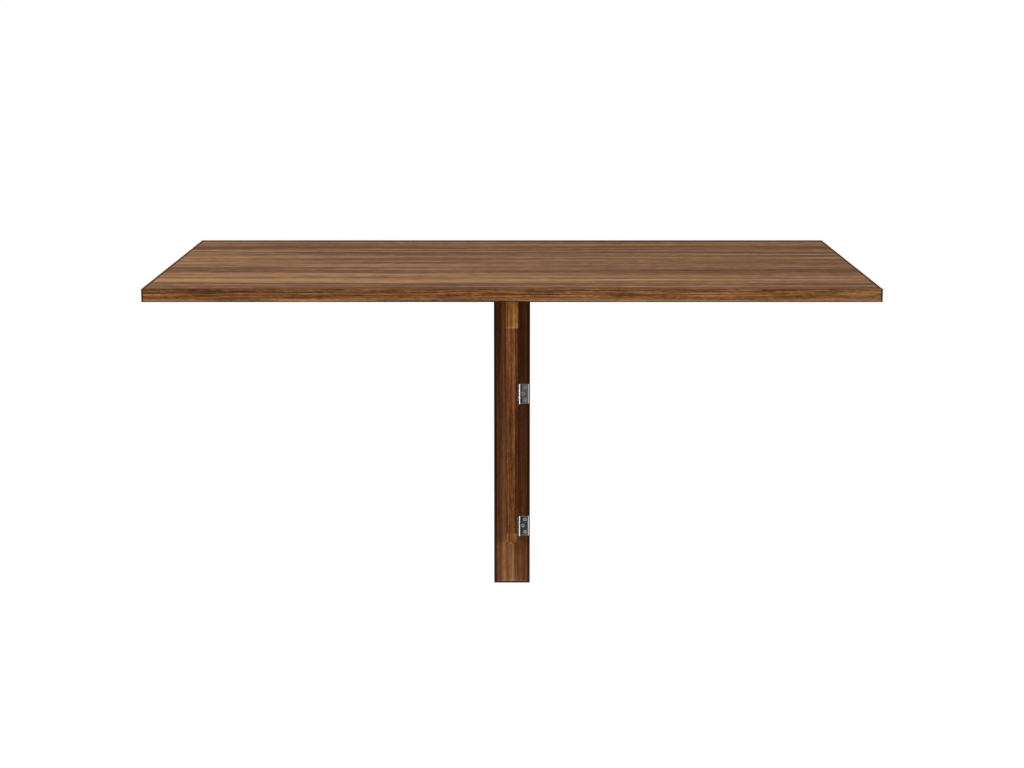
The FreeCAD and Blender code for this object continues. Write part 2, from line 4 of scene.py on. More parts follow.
import bpy
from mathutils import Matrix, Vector


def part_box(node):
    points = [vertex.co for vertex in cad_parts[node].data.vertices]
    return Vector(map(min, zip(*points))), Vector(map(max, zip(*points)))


# The looks of a wall mounted drop leaf table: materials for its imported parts, a stage, light and a camera.
# Places and sizes are in metres, and colours in linear light.
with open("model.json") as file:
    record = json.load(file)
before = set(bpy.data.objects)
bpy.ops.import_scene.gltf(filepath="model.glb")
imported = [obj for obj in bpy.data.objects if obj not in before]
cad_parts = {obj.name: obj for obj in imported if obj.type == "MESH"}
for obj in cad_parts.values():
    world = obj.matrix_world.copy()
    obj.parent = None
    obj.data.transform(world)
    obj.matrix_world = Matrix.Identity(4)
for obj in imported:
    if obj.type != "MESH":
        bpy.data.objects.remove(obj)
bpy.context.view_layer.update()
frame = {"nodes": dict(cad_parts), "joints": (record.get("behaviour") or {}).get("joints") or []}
parts = frame["nodes"]
joints = {joint["name"]: joint for joint in frame["joints"]}

# Axes by number, and directions of the grain
X, Y, Z = 0, 1, 2
GRAIN_X = Vector((1, 0, 0))
GRAIN_Y = Vector((0, 1, 0))
GRAIN_Z = Vector((0, 0, 1))

# Camera: in front of the table and a little above it, pitched down, without shift
CAMERA_PLACE = (0.0, -3.573, 0.445)
CAMERA_PITCH = math.radians(9.96)
CAMERA_LENS = 78.16

# Stage: a floor 743 mm below the table top, which glows white to the camera and is dull to other light
FLOOR_LEVEL = -0.69
FLOOR_HALF = 600.0
FLOOR_GLOW = 1.06
FLOOR_PALE = (0.95, 0.95, 0.95, 1)
FLOOR_DULL = (0.15, 0.15, 0.15, 1)
SOFT_SHADOW_SHARE = 0.1
WHITE = (1, 1, 1, 1)

# Light: the strength of the even world, and soft lamps by name, place, size and power
AMBIENT = 0.5
LAMP_TARGET = (0.0, -0.25, -0.1)
LAMPS = [
    ("key", (-0.6, -2.2, 1.45), (2.2, 1.2), 30),
    ("left_fill", (-1.75, -2.35, 0.1), (0.8, 0.5), 28),
    ("right_fill", (1.75, -2.35, 0.1), (0.8, 0.5), 25),
]

# Wood tones, from the darkest streak to the lightest
FACE_TONES = [
    (0.0, (0.088, 0.040, 0.020)),
    (0.3, (0.171, 0.081, 0.041)),
    (0.5, (0.254, 0.128, 0.066)),
    (0.75, (0.382, 0.206, 0.111)),
    (1.0, (0.527, 0.304, 0.175)),
]
EDGE_TONES = [
    (0.0, (0.060, 0.020, 0.009)),
    (0.3, (0.115, 0.042, 0.014)),
    (0.5, (0.175, 0.070, 0.026)),
    (0.75, (0.270, 0.122, 0.048)),
    (1.0, (0.390, 0.200, 0.090)),
]
CHIP_TONES = [
    (0.3, (0.200, 0.115, 0.055)),
    (0.5, (0.400, 0.265, 0.145)),
    (0.7, (0.560, 0.410, 0.255)),
]

# How much lighter or darker than the edge tones a wood is, in red, green and blue. The bands are all one
# foil, so the lighter tip, slope, foot and back woods are painted light and the darker front band is painted
# shade
EDGE_SHARES = {
    "edge_wood_x": (1.00, 1.00, 1.00),
    "edge_wood_y": (1.20, 1.20, 1.20),
    "foot_edge_wood": (0.68, 0.68, 0.68),
    "foot_wood": (1.38, 1.38, 1.38),
    "front_edge_wood": (0.68, 0.68, 0.68),
    "side_wood_y": (0.68, 0.68, 0.68),
    "side_wood_z": (0.68, 0.68, 0.68),
    "slope_wood": (1.28, 1.16, 1.17),
    "tip_wood": (2.52, 2.76, 2.60),
    "wall_board_wood": (0.99, 0.98, 1.12),
}

# The layers of the grain: how many go into a metre along it and across it, and the detail in each
GRAIN_LAYERS = {
    "bands": (1.2, 48, 3.0),
    "streaks": (2.6, 170, 5.0),
    "dashes": (16.0, 420, 4.0),
    "flecks": (110.0, 620, 2.0),
    "mottle": (50.0, 100, 2.0),
    "lines": (9.0, 850, 3.0),
}
LAYER_ROUGHNESS = 0.58
LAYER_DISTORTION = 0.25

# How strong each layer is in plain wood, and where a wood differs from that
PLAIN_GRAIN = {
    "bands": 0.44,
    "streaks": 0.44,
    "dashes": 0.24,
    "flecks": 0.1,
    "mottle": 0.16,
    "lines": 0.22,
}
TOP_GRAIN = {"bands": 0.38, "streaks": 0.38}
CALM_GRAIN = {"bands": 0.12, "streaks": 0.26}
SIDE_GRAIN = {"bands": 0.1, "streaks": 0.3, "dashes": 0.34, "flecks": 0.28, "mottle": 0.04, "lines": 0.5}
FRONT_GRAIN = {**SIDE_GRAIN, "bands": 0.06, "mottle": 0.02, "lines": 0.62}
SLOPE_GRAIN = {**SIDE_GRAIN, "dashes": 0.32, "flecks": 0.2, "mottle": 0.08, "lines": 0.3}
BOARD_GRAIN = {"bands": 0.08, "streaks": 0.26, "dashes": 0.14, "mottle": 0.04, "lines": 0.2}
OTHER_GRAIN = {
    "foot_edge_wood": SIDE_GRAIN,
    "foot_wood": CALM_GRAIN,
    "front_edge_wood": FRONT_GRAIN,
    "leaf_wood": TOP_GRAIN,
    "shelf_wood": TOP_GRAIN,
    "side_wood_y": SIDE_GRAIN,
    "side_wood_z": SIDE_GRAIN,
    "slope_wood": SLOPE_GRAIN,
    "tip_wood": CALM_GRAIN,
    "wall_board_wood": BOARD_GRAIN,
}

# Woods whose bands and streaks are narrower, and how many times
FINE_WOODS = ("foot_edge_wood", "front_edge_wood", "side_wood_y", "side_wood_z")
FINE_TIMES = 2.4

# Where each wood is cut from the endless pattern
CUTS = {
    "bracket_wood": (1, 8, 4),
    "edge_wood_x": (2, 3, 5),
    "edge_wood_y": (4, 7, 3),
    "foot_edge_wood": (2, 8, 5),
    "foot_wood": (9, 6, 1),
    "front_edge_wood": (2, 3, 5),
    "leaf_wood": (0, 0, 0),
    "rail_wood": (3, 1, 2),
    "shelf_wood": (0, 0, 0),
    "side_wood_y": (8, 1, 6),
    "side_wood_z": (7, 9, 2),
    "slope_wood": (6, 5, 8),
    "tip_wood": (9, 6, 1),
    "wall_board_wood": (5, 2, 7),
}

# The broad figure of the top, from its front edge to the wall: place along Y, and how light the wood is
TOP_FIGURE = [
    (-0.600, 0.38),
    (-0.545, 0.40),
    (-0.525, 0.72),
    (-0.500, 0.70),
    (-0.480, 0.54),
    (-0.450, 0.66),
    (-0.420, 0.47),
    (-0.385, 0.34),
    (-0.350, 0.60),
    (-0.310, 0.51),
    (-0.240, 0.68),
    (-0.180, 0.50),
    (-0.140, 0.62),
    (-0.108, 0.40),
    (-0.085, 0.56),
    (-0.050, 0.70),
    (0.000, 0.66),
]
TOP_WAVER = 0.012

# The figure across the wall board, from left to right
BOARD_FIGURE = [
    (-0.0290, 0.46),
    (-0.0180, 0.46),
    (-0.0130, 0.76),
    (-0.0080, 0.56),
    (-0.0020, 0.60),
    (0.0020, 0.92),
    (0.0055, 0.40),
    (0.0150, 0.36),
    (0.0290, 0.44),
]
BOARD_WAVER = 0.001

# The figure across the bracket's slope, from left to right
SLOPE_FIGURE = [
    (-0.0090, 0.36),
    (-0.0040, 0.52),
    (0.0030, 0.68),
    (0.0042, 0.62),
    (0.0050, 0.14),
    (0.0078, 0.12),
    (0.0090, 0.22),
]
SLOPE_WAVER = 0.0006
WAVER_SCALE = (1.7, 9.0, 9.0)

# Ranges of noise that a change is spread over, from the widest to the narrowest
WIDE = (0.2, 0.8)
MOST = (0.25, 0.75)
MIDDLE = (0.3, 0.7)

# Pores, drifts of hue, and the surface of the wood
PORE_SCALE = (45.0, 2400, 2400)
PORE_RANGE = (0.62, 0.72)
PORE_DARKNESS = 0.15
HUE_SCALE = (0.8, 70, 70)
HUE_CUT = (11, 5, 3)
HUE_TINTS = [(0.35, (1.0, 0.95, 0.94)), (0.65, (1.0, 1.02, 0.84))]
WOOD_ROUGHNESS = (0.55, 0.7)
WOOD_SPECULAR = 0.008
WOOD_RELIEF = 0.00006
LINE_HEIGHT = 0.4
CHIP_SCALE = (420, 900, 700)
REAR_FACING = (0.8, 0.9)

# Lines along edges: half of their soft border, and how far a line at an edge goes past it
LINE_BORDER = 0.0003
PAST_EDGE = 0.001

# The painted shade along the wall: how far from the wall it starts, and where it is full
WALL_SHADE_LINE = (0.026, 0.017)

# The shade up the wall board: how far above the foot it starts, and where it is full
BOARD_SHADE = (0.07, 0.45)

# Hinges: the knuckles' radius and a plate's reach from its pin, and the grey of each stretch between them.
# The light knuckles and rims are painted highlights, the dark grooves are painted shade, and so is the swing
# plates' dark free edge
SWING_SIZE = (0.0026, 0.0166)
SWING_TONES = {"knuckle": 1.0, "groove": 0.02, "rim": 0.6, "edge": 0.03}
# The swing plates' flat grey differs between the hinges as painted light and shade, since the plates are
# alike
SWING_FLATS = {"upper": 0.12, "middle": 0.125, "lower": 0.05}
LEAF_SIZE = (0.0032, 0.0260)
LEAF_TONES = {"knuckle": 0.8, "groove": 0.15, "flat": 0.30, "rim": 0.6, "edge": 0.6}

# Places of those stretches: outward from the knuckles, and inward from the plate's free edge
GROOVE_START = 0.0003
GROOVE_END = 0.0013
FLAT_START = 0.0017
FLAT_END = 0.0023
RIM_START = 0.0020
RIM_END = 0.0009
EDGE_START = 0.0006

# The shaded side of the knuckles: where it starts and is full beside the pin, and where it ends past them
SHADED_SIDE = (0.0006, 0.0014)
SHADE_END = (0.0002, 0.0004)

# Painted highlights at both ends of a plate: where they start and are full, inward from its ends, and their
# grey
END_HIGHLIGHT_SPAN = (0.0014, 0.0010)
END_HIGHLIGHT_TONE = 0.25

# Metal surfaces
BRUSHED_SCALE = (120, 6000, 6000)
BRUSHED_SHARES = (0.8, 1.1)
BRUSHED_RELIEF = 0.00001
BLOTCH_SCALE = (260, 260, 260)
BLOTCH_CHANGE = 0.2
DARK_TO_BRIGHT = (0.0, 0.6)
PLATE_ROUGHNESS = (0.42, 0.34)
STAIN_SCALE = (420, 420, 420)
STAIN_RELIEF = 0.00003
PIN_TONE = (0.55, 0.55, 0.54)
PIN_ROUGHNESS = (0.22, 0.38)
ZINC_TONE = (0.46, 0.46, 0.47)
ZINC_ROUGHNESS = (0.42, 0.58)
STAIN_SHARES = (0.75, 1.15)
SCREW_ROUGHNESS = (0.28, 0.42)
SCREW_SHARES = (0.8, 1.15)
SWING_SCREW_TONE = 0.32
LEAF_SCREW_TONE = 0.45
# The screws' recess, darkened as painted shade: how far below the heads' face the darkening starts and is
# full, and its tone
RECESS_SHADE_DEPTH = (0.0001, 0.0004)
RECESS_SHADE_TONE = (0.015, 0.015, 0.014, 1.0)

# Raw beech of the dowels
BEECH_SCALE = (40, 900, 900)
BEECH_TONES = [(0.3, (0.46, 0.29, 0.15)), (0.7, (0.62, 0.43, 0.25))]
BEECH_FLECK_SCALE = (380, 3000, 3000)
BEECH_FLECK_RANGE = (0.62, 0.7)
BEECH_FLECK_TONE = (0.32, 0.17, 0.08, 1.0)
BEECH_RELIEF = 0.00008
BEECH_ROUGHNESS = 0.72


class Graph:
    """The nodes of a material or of the world, with short calls for the kinds used here."""

    def __init__(self, tree):
        self.tree = tree

    def add(self, kind, settings=None, inputs=None):
        """A node with its settings, and its inputs as links or values."""
        node = self.tree.nodes.new(kind)
        for name, value in (settings or {}).items():
            setattr(node, name, value)
        for name, value in (inputs or {}).items():
            self.feed(node.inputs[name], value)
        return node

    def feed(self, socket, value):
        """Link another node's output to a socket, or set the socket's own value."""
        if isinstance(value, bpy.types.NodeSocket):
            self.tree.links.new(value, socket)
        else:
            socket.default_value = value

    def place(self):
        """The point in the frame, which moves with its body."""
        return self.add("ShaderNodeTexCoord").outputs["Object"]

    def facing(self, axis):
        """How far the surface faces along one axis of the frame, from -1 to 1."""
        normal = self.add("ShaderNodeTexCoord").outputs["Normal"]
        return self.along(normal, axis)

    def along(self, vector, axis):
        """One part of a vector."""
        return self.add("ShaderNodeSeparateXYZ", inputs={0: vector}).outputs[axis]

    def stretched(self, vector, scale, turn=(0, 0, 0), offset=(0, 0, 0)):
        """The point turned first and then scaled along each axis."""
        turned = self.add("ShaderNodeMapping", inputs={"Vector": vector, "Rotation": turn}).outputs[0]
        inputs = {"Vector": turned, "Scale": scale, "Location": offset}
        return self.add("ShaderNodeMapping", inputs=inputs).outputs[0]

    def noise(self, vector, detail=2.0, roughness=0.5, distortion=0.0):
        """Smooth noise from 0 to 1."""
        inputs = {
            "Vector": vector,
            "Scale": 1.0,
            "Detail": detail,
            "Roughness": roughness,
            "Distortion": distortion,
        }
        return self.add("ShaderNodeTexNoise", inputs=inputs).outputs[0]

    def math(self, operation, first, second=0.0):
        """A sum of two numbers, or another operation."""
        node = self.add("ShaderNodeMath", {"operation": operation}, {0: first, 1: second})
        return node.outputs[0]

    def vector_math(self, operation, first, second=(0, 0, 0)):
        """A node for a difference of two vectors, or another operation."""
        return self.add("ShaderNodeVectorMath", {"operation": operation}, {0: first, 1: second})

    def span(self, value, low, high, new_low=0.0, new_high=1.0):
        """A value's range mapped to another range, held at its ends."""
        inputs = {"Value": value, "From Min": low, "From Max": high, "To Min": new_low, "To Max": new_high}
        return self.add("ShaderNodeMapRange", inputs=inputs).outputs[0]

    def ramp(self, value, stops, interpolation="LINEAR"):
        """A colour for each value, from (place, colour) stops."""
        node = self.add("ShaderNodeValToRGB", inputs={"Fac": value})
        ramp = node.color_ramp
        ramp.interpolation = interpolation
        while len(ramp.elements) < len(stops):
            ramp.elements.new(1.0)
        for element, (spot, colour) in zip(ramp.elements, stops):
            element.position = spot
            element.color = (*colour, 1.0)
        return node.outputs["Color"]

    def mixed(self, share, first, second, kind="MIX"):
        """Two colours mixed."""
        node = self.add("ShaderNodeMix", {"data_type": "RGBA", "blend_type": kind})
        self.feed(node.inputs[0], share)
        self.feed(node.inputs[6], first)
        self.feed(node.inputs[7], second)
        return node.outputs[2]

    def bump(self, height, depth):
        """A surface raised by up to the given depth where the height is 1."""
        inputs = {"Height": height, "Distance": depth, "Strength": 1.0}
        return self.add("ShaderNodeBump", inputs=inputs).outputs[0]

    def seen_directly(self):
        """1 for rays that show the background in the picture, in metal or through glass."""
        path = self.add("ShaderNodeLightPath")
        shown = self.math("MAXIMUM", path.outputs["Is Camera Ray"], path.outputs["Is Glossy Ray"])
        return self.math("MAXIMUM", shown, path.outputs["Is Transmission Ray"])


class MaterialGraph(Graph):
    """A new material's nodes, with its main shader."""

    def __init__(self, name):
        self.material = bpy.data.materials.new(name)
        self.material.use_nodes = True
        super().__init__(self.material.node_tree)
        self.shader = self.tree.nodes["Principled BSDF"]

    def set(self, name, value):
        """Link or set one of the shader's inputs."""
        self.feed(self.shader.inputs[name], value)

    def colour(self):
        """The colour that the shader is linked to."""
        return self.shader.inputs["Base Color"].links[0].from_socket


def grey(level):
    """A colour of one level."""
    return (level, level, level)


def tinted(colour, shares):
    """A colour with its red, green and blue each times a share."""
    return tuple(part * share for part, share in zip(colour, shares))


# Figures and marks of the wood


def stripes(axis, stops, waver):
    """A figure of listed stripes along one axis, which waver a little along the grain."""

    def figure(graph, place, grain_place):
        drift = graph.noise(graph.stretched(grain_place, WAVER_SCALE))
        spot = graph.math("ADD", graph.along(place, axis), graph.span(drift, *WIDE, -waver, waver))
        low = stops[0][0]
        high = stops[-1][0]
        shares = [((there - low) / (high - low), grey(light)) for there, light in stops]
        return graph.ramp(graph.span(spot, low, high), shares, "EASE")

    return figure


def broad_figure(scale, darkest, lightest):
    """A broad light and dark figure with no set places."""

    def figure(graph, place, grain_place):
        broad = graph.noise(graph.stretched(grain_place, scale))
        return graph.span(broad, *MOST, darkest, lightest)

    return figure


LOOSE_FIGURE = broad_figure((0.9, 55.0, 55.0), darkest=0.3, lightest=0.7)
EVEN_FIGURE = broad_figure((1.5, 30.0, 30.0), darkest=0.46, lightest=0.56)


def edge_line(axis, edge, inward, width, change, inset=0.0, both_ways=False):
    """A line beside an edge that makes the wood lighter or darker, inset from the edge or right at it."""
    near = inset or -PAST_EDGE
    start, end = sorted((edge + inward * near, edge + inward * (inset + width)))

    def line(graph, place):
        spot = graph.along(place, axis)
        if both_ways:
            spot = graph.math("ABSOLUTE", spot)
        past_start = graph.span(spot, start - LINE_BORDER, start + LINE_BORDER)
        past_end = graph.span(spot, end - LINE_BORDER, end + LINE_BORDER)
        return graph.math("MULTIPLY", graph.math("SUBTRACT", past_start, past_end), change)

    return line


def fade(axis, start, end, change):
    """A slow change of lightness from none at one place to its full share at another."""

    def slow(graph, place):
        return graph.span(graph.along(place, axis), start, end, 0.0, change)

    return slow


# Woods


def layer_noise(graph, grain_place, layer, times=1.0):
    """One layer of the grain, some times narrower across it."""
    along, across, detail = GRAIN_LAYERS[layer]
    scale = (along, across * times, across * times)
    return graph.noise(graph.stretched(grain_place, scale), detail, LAYER_ROUGHNESS, LAYER_DISTORTION)


def with_grain(graph, name, grain_place, value):
    """A wood's figure with all layers of its grain added."""
    for layer, strength in {**PLAIN_GRAIN, **OTHER_GRAIN.get(name, {})}.items():
        narrow = name in FINE_WOODS and layer in ("bands", "streaks")
        pattern = layer_noise(graph, grain_place, layer, FINE_TIMES if narrow else 1.0)
        value = graph.math("ADD", value, graph.span(pattern, *MOST, -strength, strength))
    return value


def wood(name, grain, tones, figure=LOOSE_FIGURE, marks=()):
    """A satin wood-grain surface with its grain along one direction, and its own figure and marks."""
    graph = MaterialGraph(name)
    place = graph.place()
    turn = grain.rotation_difference(GRAIN_X).to_euler()
    grain_place = graph.stretched(place, (1, 1, 1), turn, CUTS[name])
    value = with_grain(graph, name, grain_place, figure(graph, place, grain_place))
    pores = graph.noise(graph.stretched(grain_place, PORE_SCALE), detail=1.0)
    open_pores = graph.span(pores, *PORE_RANGE)
    value = graph.math("SUBTRACT", value, graph.math("MULTIPLY", open_pores, PORE_DARKNESS))
    for mark in marks:
        value = graph.math("ADD", value, mark(graph, place))
    hue = graph.noise(graph.stretched(grain_place, HUE_SCALE, offset=HUE_CUT))
    tint = graph.ramp(hue, HUE_TINTS)
    graph.set("Base Color", graph.mixed(1.0, graph.ramp(value, tones), tint, "MULTIPLY"))
    lines = layer_noise(graph, grain_place, "lines")
    graph.set("Roughness", graph.span(lines, *WIDE, *WOOD_ROUGHNESS))
    height = graph.math("SUBTRACT", graph.math("MULTIPLY", lines, LINE_HEIGHT), open_pores)
    graph.set("Normal", graph.bump(height, WOOD_RELIEF))
    graph.set("Specular IOR Level", WOOD_SPECULAR)
    return graph


def edge_wood(name, grain, figure=LOOSE_FIGURE, marks=()):
    """A wood in its own share of the edge tones; for the bracket's bands and the front band that share is
    painted light and shade.
    """
    tones = [(spot, tinted(colour, EDGE_SHARES[name])) for spot, colour in EDGE_TONES]
    return wood(name, grain, tones, figure, marks).material


def leave_rear_raw(graph):
    """Show the pressed chips of the board on a wood's rear edge."""
    place = graph.stretched(graph.place(), CHIP_SCALE)
    chips = graph.noise(place, detail=3.0, roughness=0.65, distortion=0.6)
    rear = graph.span(graph.facing(Y), *REAR_FACING)
    graph.set("Base Color", graph.mixed(rear, graph.colour(), graph.ramp(chips, CHIP_TONES)))


def beech(name, grain):
    """Raw beech with short dark flecks."""
    graph = MaterialGraph(name)
    turn = grain.rotation_difference(GRAIN_X).to_euler()
    place = graph.stretched(graph.place(), (1, 1, 1), turn)
    streaks = graph.noise(graph.stretched(place, BEECH_SCALE), detail=4.0)
    flecks = graph.span(graph.noise(graph.stretched(place, BEECH_FLECK_SCALE)), *BEECH_FLECK_RANGE)
    graph.set("Base Color", graph.mixed(flecks, graph.ramp(streaks, BEECH_TONES), BEECH_FLECK_TONE))
    graph.set("Normal", graph.bump(streaks, BEECH_RELIEF))
    graph.set("Roughness", BEECH_ROUGHNESS)
    return graph.material


# Metals


def plate_shade(graph, away, size, tones):
    """The greys of a hinge plate by the distance from its pin: knuckles, groove, flat, rim and free edge.
    Apart from the flat, these are painted highlights and shade.
    """
    knuckle, reach = size
    spots = [
        (0.0, "knuckle"),
        (knuckle, "knuckle"),
        (knuckle + GROOVE_START, "groove"),
        (knuckle + GROOVE_END, "groove"),
        (knuckle + FLAT_START, "flat"),
        (reach - FLAT_END, "flat"),
        (reach - RIM_START, "rim"),
        (reach - RIM_END, "rim"),
        (reach - EDGE_START, "edge"),
    ]
    stops = [(spot / reach, grey(tones[stretch])) for spot, stretch in spots]
    return graph.ramp(graph.math("DIVIDE", away, reach), stops)


def painted_end_highlights(graph, place, node, axis_number):
    """A painted highlight: a lighter grey at both ends of a hinge plate, along its pin."""
    low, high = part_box(node)
    middle = (low[axis_number] + high[axis_number]) / 2
    half = (high[axis_number] - low[axis_number]) / 2
    from_middle = graph.math("ABSOLUTE", graph.math("SUBTRACT", graph.along(place, axis_number), middle))
    start, full = END_HIGHLIGHT_SPAN
    return graph.span(from_middle, half - start, half - full, 0.0, END_HIGHLIGHT_TONE)


def hinge_steel(node, joint, size, tones, shaded_axis=None):
    """Brushed plated steel of a hinge plate: a dark flat, with painted highlights on the knuckles, ends and
    rim.

    Where an axis is given, the far side of the knuckles along it is painted dark as shade too.
    """
    graph = MaterialGraph(f"{node}_steel")
    place = graph.place()
    axis = Vector(joint["axis"])
    axis_number = max(range(3), key=lambda number: abs(axis[number]))
    turn = axis.rotation_difference(GRAIN_X).to_euler()
    brushed = graph.noise(graph.stretched(place, BRUSHED_SCALE, turn), detail=3.0)
    blotches = graph.noise(graph.stretched(place, BLOTCH_SCALE), detail=3.0)
    square_to_pin = Vector((1, 1, 1)) - Vector([abs(part) for part in axis])
    from_pin = graph.vector_math("SUBTRACT", place, joint["pos_m"]).outputs[0]
    sideways = graph.vector_math("MULTIPLY", from_pin, square_to_pin).outputs[0]
    away = graph.vector_math("LENGTH", sideways).outputs["Value"]
    shade = plate_shade(graph, away, size, tones)
    if shaded_axis is not None:
        beside = graph.span(graph.along(from_pin, shaded_axis), *SHADED_SIDE)
        start, end = [size[0] + past for past in SHADE_END]
        in_knuckle = graph.span(away, start, end, 1.0, 0.0)
        dark = (*grey(tones["groove"]), 1.0)
        shade = graph.mixed(graph.math("MULTIPLY", beside, in_knuckle), shade, dark)
    shade = graph.math("MAXIMUM", shade, painted_end_highlights(graph, place, node, axis_number))
    grained = graph.span(brushed, *MIDDLE, *BRUSHED_SHARES)
    grained = graph.math("ADD", grained, graph.span(blotches, *MIDDLE, -BLOTCH_CHANGE, BLOTCH_CHANGE))
    graph.set("Base Color", graph.math("MULTIPLY", shade, grained))
    graph.set("Roughness", graph.span(shade, *DARK_TO_BRIGHT, *PLATE_ROUGHNESS))
    graph.set("Normal", graph.bump(brushed, BRUSHED_RELIEF))
    graph.set("Metallic", 1.0)
    return graph.material


def stained_metal(name, tone, shares, roughness):
    """Plated or cast metal with faint stains."""
    graph = MaterialGraph(name)
    stains = graph.noise(graph.stretched(graph.place(), STAIN_SCALE), detail=4.0)
    stops = [(spot, tinted(tone, grey(share))) for spot, share in zip(MIDDLE, shares)]
    graph.set("Base Color", graph.ramp(stains, stops))
    graph.set("Roughness", graph.span(stains, *MIDDLE, *roughness))
    graph.set("Normal", graph.bump(stains, STAIN_RELIEF))
    graph.set("Metallic", 1.0)
    return graph


def screw_steel(name, axis, face, inward, level):
    """Plated screws whose recess, sunk below the heads' common face, is darkened as painted shade."""
    graph = stained_metal(name, grey(level), SCREW_SHARES, SCREW_ROUGHNESS)
    depth = graph.math("MULTIPLY", graph.math("SUBTRACT", graph.along(graph.place(), axis), face), inward)
    graph.set("Base Color", graph.mixed(graph.span(depth, *RECESS_SHADE_DEPTH), graph.colour(), RECESS_SHADE_TONE))
    return graph.material


# The parts and their materials


def dress(material, *names):
    """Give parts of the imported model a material."""
    for name in names:
        thing = parts[name]
        if not thing.material_slots:
            thing.data.materials.append(None)
        for slot in thing.material_slots:
            slot.material = material


def dress_top():
    """The leaf and the shelf: one figure over both, with dark lines along the ends, painted shade along the
    wall, and a darkening to the right that is partly figure and partly painted shade.
    """
    figure = stripes(Y, TOP_FIGURE, TOP_WAVER)
    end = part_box("leaf_panel")[1].x
    end_line = edge_line(X, end, -1, width=0.0025, change=-0.8, both_ways=True)
    # Darker towards the right: partly the wood's figure and partly painted shade
    to_right = fade(X, -end, end, change=-0.11)
    leaf = wood("leaf_wood", GRAIN_X, FACE_TONES, figure, [end_line, to_right])
    dress(leaf.material, "leaf_panel")
    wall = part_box("fixed_shelf")[1].y
    start, full = WALL_SHADE_LINE
    # Painted shade along the edge at the wall
    wall_shade_line = fade(Y, wall - start, wall - full, change=-0.68)
    shelf = wood("shelf_wood", GRAIN_X, FACE_TONES, figure, [end_line, to_right, wall_shade_line])
    leave_rear_raw(shelf)
    dress(shelf.material, "fixed_shelf")


def dress_boards():
    """The rail, the bracket's panel and the wall board, which has thin lines along its edges."""
    dress(wood("rail_wood", GRAIN_X, FACE_TONES).material, "wall_rail")
    dress(wood("bracket_wood", GRAIN_Z, FACE_TONES).material, "bracket_panel")
    low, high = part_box("wall_board")
    start, full = BOARD_SHADE
    marks = [
        # Painted shade along the foot, and a painted highlight above it
        edge_line(Z, low.z, 1, width=0.0008, change=-0.9),
        edge_line(Z, low.z, 1, width=0.0020, change=0.24, inset=0.0008),
        edge_line(X, high.x, -1, width=0.0022, change=-0.9, both_ways=True),
        fade(Z, low.z + start, low.z + full, change=-0.15),
    ]
    figure = stripes(X, BOARD_FIGURE, BOARD_WAVER)
    dress(edge_wood("wall_board_wood", GRAIN_Z, figure, marks), "wall_board")


def dress_front_band():
    """The leaf's front band: fine streaks, dark ends, and along its lower edge a dark line of painted shade
    and a light line of painted highlight.
    """
    low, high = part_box("leaf_front_band")
    marks = [
        # Painted shade along the lower edge, and a painted highlight above it
        edge_line(Z, low.z, 1, width=0.0014, change=-0.6),
        edge_line(Z, low.z, 1, width=0.0016, change=0.32, inset=0.0014),
        edge_line(X, high.x, -1, width=0.0022, change=-1.0, both_ways=True),
        fade(X, low.x, 0.0, change=0.05),
        fade(X, 0.0, high.x, change=0.25),
        fade(Z, low.z, high.z, change=-0.1),
    ]
    dress(edge_wood("front_edge_wood", GRAIN_X, EVEN_FIGURE, marks), "leaf_front_band")


def dress_bracket_bands():
    """The bracket's bands: the grain runs along each edge, and the tip is painted lighter than the slope,
    with painted shade darkening it towards the top.
    """
    low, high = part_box("bracket_tip_band")
    tip_marks = [
        # A light line at the foot of the tip, and painted shade darkening it towards the top under the leaf
        edge_line(Z, low.z, 1, width=0.0024, change=0.08),
        fade(Z, low.z, high.z, change=-0.3),
    ]
    dress(edge_wood("tip_wood", GRAIN_Z, marks=tip_marks), "bracket_tip_band")
    dress(edge_wood("foot_wood", GRAIN_Z), "bracket_foot_band", "bracket_back_band")
    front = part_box("bracket_bottom_band")[0].y
    dark_end = edge_line(Y, front, 1, width=0.003, change=-0.3)
    dress(edge_wood("edge_wood_y", GRAIN_Y, marks=[dark_end]), "bracket_top_band", "bracket_bottom_band")
    low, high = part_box("bracket_slope_band")
    grain = Vector((0, low.y - high.y, high.z - low.z)).normalized()
    figure = stripes(X, SLOPE_FIGURE, SLOPE_WAVER)
    dress(edge_wood("slope_wood", grain, figure), "bracket_slope_band")


def dress_other_bands():
    """Bands on hidden edges, and those of which the photograph only shows a dark line along one corner."""
    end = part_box("leaf_rear_band")[1].x
    end_line = edge_line(X, end, -1, width=0.0022, change=-1.0, both_ways=True)
    across = edge_wood("edge_wood_x", GRAIN_X, marks=[end_line])
    dress(across, "leaf_rear_band", "shelf_front_band", "rail_lower_left_band", "rail_lower_right_band")
    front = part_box("wall_board_left_band")[0].y
    # A dark line along the bands' front corner, painted shade of the rounded corner
    front_line = edge_line(Y, front, 1, width=0.0006, change=-1.6)
    dress(edge_wood("foot_edge_wood", GRAIN_X, EVEN_FIGURE, [front_line]), "wall_board_foot_band")
    sides = edge_wood("side_wood_z", GRAIN_Z, EVEN_FIGURE, [front_line])
    dress(sides, "wall_board_left_band", "wall_board_right_band", "rail_left_band", "rail_right_band")
    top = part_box("leaf_left_band")[1].z
    # A dark line along the bands' top corner, painted shade of the rounded corner
    top_line = edge_line(Z, top, -1, width=0.0006, change=-1.6)
    ends = edge_wood("side_wood_y", GRAIN_Y, EVEN_FIGURE, [top_line])
    dress(ends, "leaf_left_band", "leaf_right_band", "shelf_left_band", "shelf_right_band")


